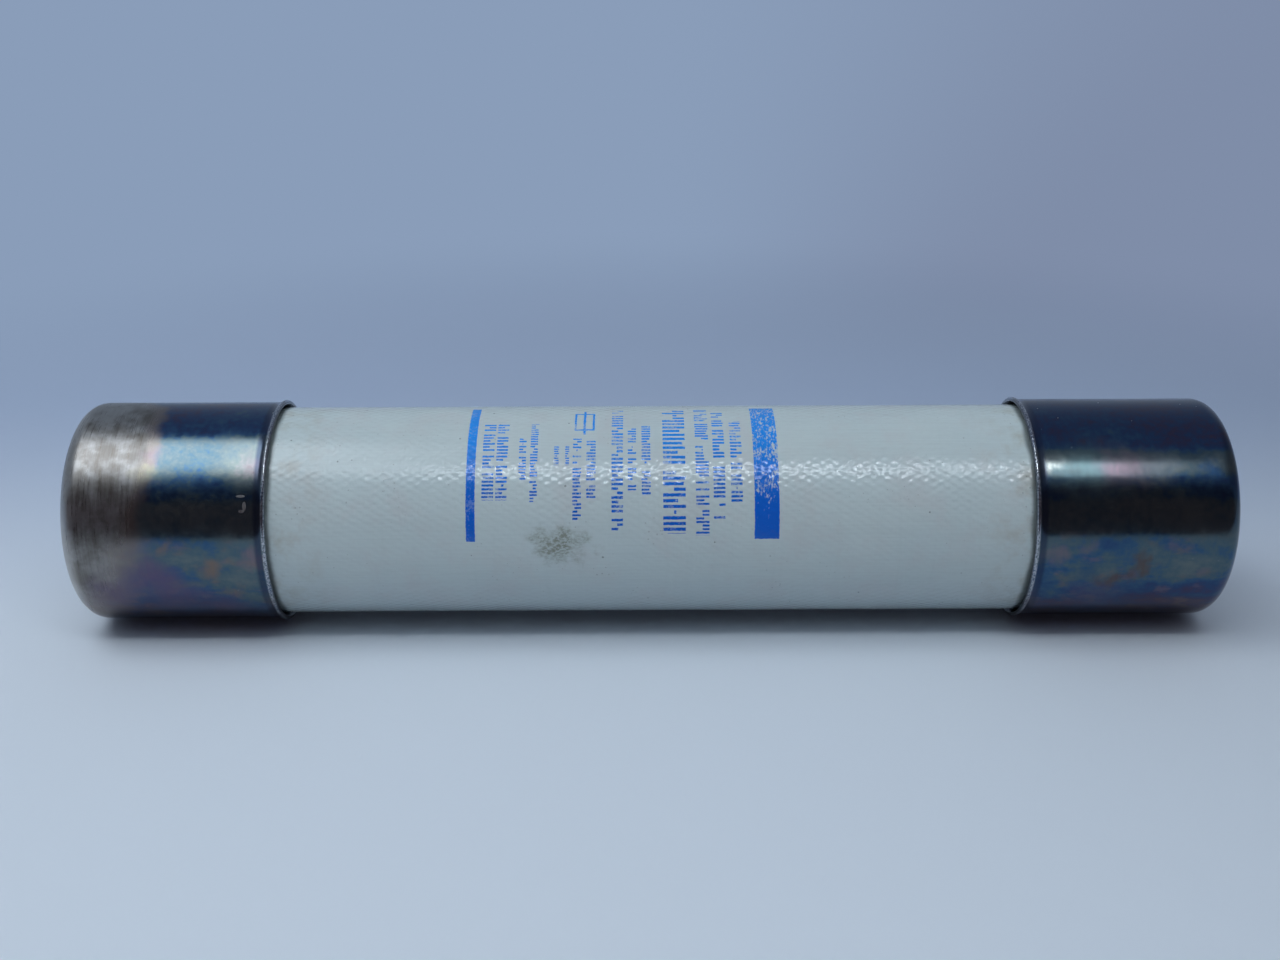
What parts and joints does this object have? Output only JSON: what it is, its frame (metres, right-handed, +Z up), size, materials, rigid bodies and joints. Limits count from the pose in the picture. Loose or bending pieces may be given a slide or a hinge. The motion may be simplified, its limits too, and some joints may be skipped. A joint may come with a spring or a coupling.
{
  "type": "current-limiting fuse",
  "caption": "Cylindrical medium-voltage fuse: glass-cloth tube, round metal ferrules with flared lips, notched ribbons wound on a ceramic core in sand, and an indicator that pops out.",
  "frame": {"origin": "middle of the fuse's axis, half-way between the two end faces", "axes": "+X along the fuse's axis towards the end with the indicator, +Z up as the fuse lies, -Y towards the viewer of the picture"},
  "size_m": [0.393, 0.078, 0.078],
  "materials": {
    "tube": "glossy pale glass cloth in resin",
    "ferrule": "plated, tarnished to blue and brown",
    "end_plate": "turned",
    "gasket": "matte",
    "terminal": "formed",
    "core": "unglazed, matte",
    "sand": "packed quartz grains",
    "sand_plug": "pressed fibre",
    "element": "fine silver strip",
    "overlay": "dull tin alloy",
    "housing": "turned",
    "pin": "turned",
    "spring": "oiled spring wire",
    "wire": "drawn resistance wire"
  },
  "bodies": {
    "fuse_body": {"fuse_tube": "tube", "left_ferrule": "ferrule", "right_ferrule": "ferrule", "left_end_plate": "end_plate", "right_end_plate": "end_plate", "tube_gaskets": "gasket", "left_terminal": "terminal", "right_terminal": "terminal", "core": "core", "sand_inner": "sand", "sand_outer": "sand", "sand_plug": "sand_plug", "fuse_element_1": "element", "fuse_element_2": "element", "fuse_element_3": "element", "alloy_overlay_1": "overlay", "alloy_overlay_2": "overlay", "alloy_overlay_3": "overlay", "indicator_housing": "housing", "indicator_spring": "spring", "wire_anchor": "terminal", "trip_wire": "wire"},
    "indicator": {"indicator_pin": "pin"}
  },
  "joints": [
    {"name": "indicator_pop", "type": "slide", "parent": "fuse_body", "child": "indicator", "axis": [1, 0, 0], "range_m": [0, 0.01], "deforming": ["indicator_spring"]}
  ]
}
